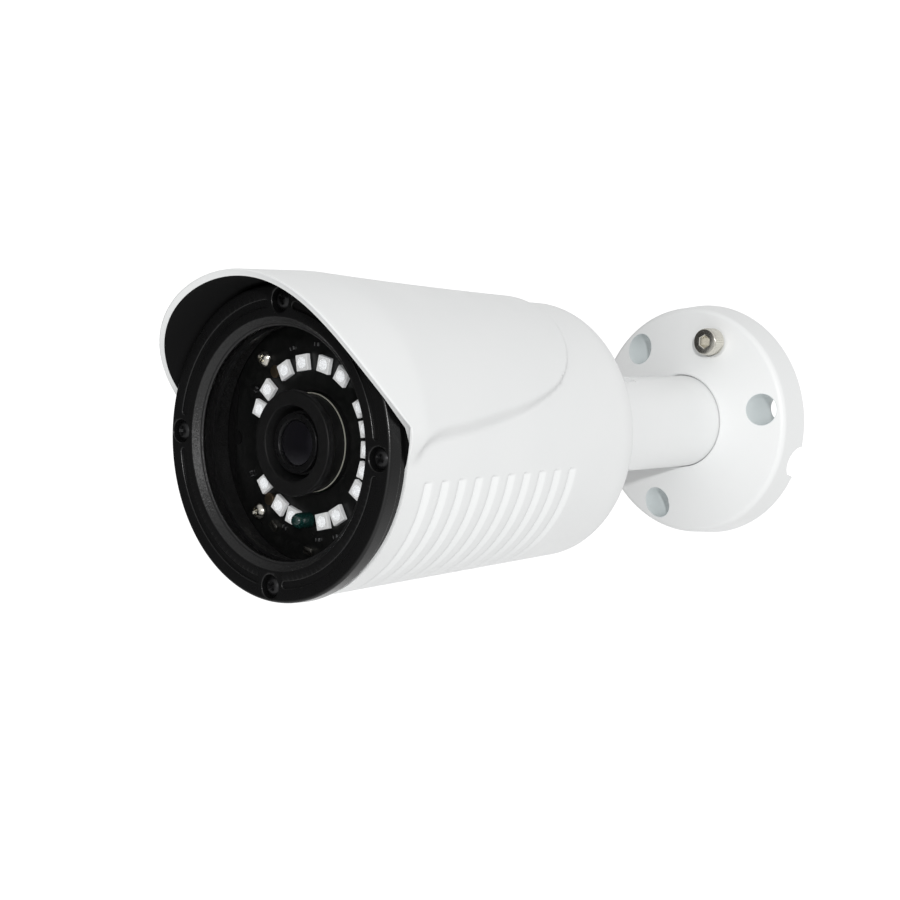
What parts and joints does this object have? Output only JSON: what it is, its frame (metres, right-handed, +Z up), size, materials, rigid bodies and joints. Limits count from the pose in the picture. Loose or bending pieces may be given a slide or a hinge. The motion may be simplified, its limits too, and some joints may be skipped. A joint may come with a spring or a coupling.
{
  "type": "security camera",
  "caption": "Small bullet security camera with a sunshade, a ring of infrared emitters behind a flat window, and a wall bracket that pans, tilts and rolls.",
  "frame": {"origin": "centre of the wall base's back face, on the wall plane and on the axis of the bracket's arm", "axes": "+Y points into the wall, so the camera looks along -Y at rest; +Z is up, towards the sunshade's ridge; +X is to the right when facing the wall"},
  "size_m": [0.0718, 0.168, 0.0695],
  "materials": {
    "white_paint": "white powder coat with a fine orange-peel texture, on die-cast aluminium",
    "black_paint": "satin black paint on die-cast aluminium",
    "black_screw": "black oxide on steel",
    "window_glass": "clear flat toughened glass",
    "black_rubber": "moulded black rubber",
    "black_board": "circuit board with black solder mask",
    "bright_screw": "nickel-plated steel",
    "zinc_steel": "zinc-plated steel",
    "brass_post": "turned brass",
    "led_white": "white ceramic package with a clear silicone dome",
    "sensor_green": "dark green filtered resin",
    "lens_black": "black moulded plastic",
    "lens_glass": "coated lens glass over a dark barrel",
    "filter_glass": "cyan-tinted coated glass",
    "sensor_chip": "glass-covered silicon",
    "green_board": "circuit board with green solder mask",
    "fibre_washer": "red-brown hard fibre"
  },
  "bodies": {
    "base": {"wall_base": "white_paint", "clamp_plate": "zinc_steel", "arm_lock_screw": "bright_screw", "plate_screw_1": "zinc_steel", "plate_screw_2": "zinc_steel", "friction_washer": "fibre_washer"},
    "arm": {"arm": "white_paint", "tilt_screw": "bright_screw"},
    "tilt": {"swivel_stub": "white_paint", "stub_washer": "zinc_steel", "stub_nut": "zinc_steel"},
    "camera": {"housing": "white_paint", "front_bezel": "black_paint", "bezel_screw_1": "black_screw", "bezel_screw_2": "black_screw", "bezel_screw_3": "black_screw", "bezel_screw_4": "black_screw", "front_glass": "window_glass", "bezel_gasket": "black_rubber", "glass_gasket": "black_rubber", "lens_shield": "black_rubber", "cable_grommet": "black_rubber", "stub_seal": "black_rubber", "led_board": "black_board", "led_board_screw_1": "bright_screw", "led_board_screw_2": "bright_screw", "led_board_screw_3": "bright_screw", "board_standoff_1": "brass_post", "board_standoff_2": "brass_post", "board_standoff_3": "brass_post", "ir_led_01": "led_white", "ir_led_02": "led_white", "ir_led_03": "led_white", "ir_led_04": "led_white", "ir_led_05": "led_white", "ir_led_06": "led_white", "ir_led_07": "led_white", "ir_led_08": "led_white", "ir_led_09": "led_white", "ir_led_10": "led_white", "ir_led_11": "led_white", "ir_led_12": "led_white", "ir_led_13": "led_white", "ir_led_14": "led_white", "ir_led_15": "led_white", "ir_led_16": "led_white", "light_sensor": "sensor_green", "lens_barrel": "lens_black", "lens_retaining_ring": "lens_black", "lens_holder": "lens_black", "processor": "lens_black", "board_header": "lens_black", "lens_front_element": "lens_glass", "image_sensor": "sensor_chip", "main_board": "green_board", "power_board": "green_board"},
    "filter": {"ir_cut_filter": "filter_glass"}
  },
  "joints": [
    {"name": "pan_swivel", "type": "hinge", "parent": "base", "child": "arm", "pos_m": [0, 0, 0], "axis": [0, 1, 0], "range_deg": [-180, 180]},
    {"name": "tilt_hinge", "type": "hinge", "parent": "arm", "child": "tilt", "pos_m": [0, -0.04885, 0], "axis": [1, 0, 0], "range_deg": [-90, 90]},
    {"name": "camera_roll", "type": "hinge", "parent": "tilt", "child": "camera", "pos_m": [0, -0.07285, 0], "axis": [0, 1, 0], "range_deg": [-180, 180]},
    {"name": "filter_slide", "type": "slide", "parent": "camera", "child": "filter", "axis": [1, 0, 0], "range_m": [0, 0.0064]}
  ]
}
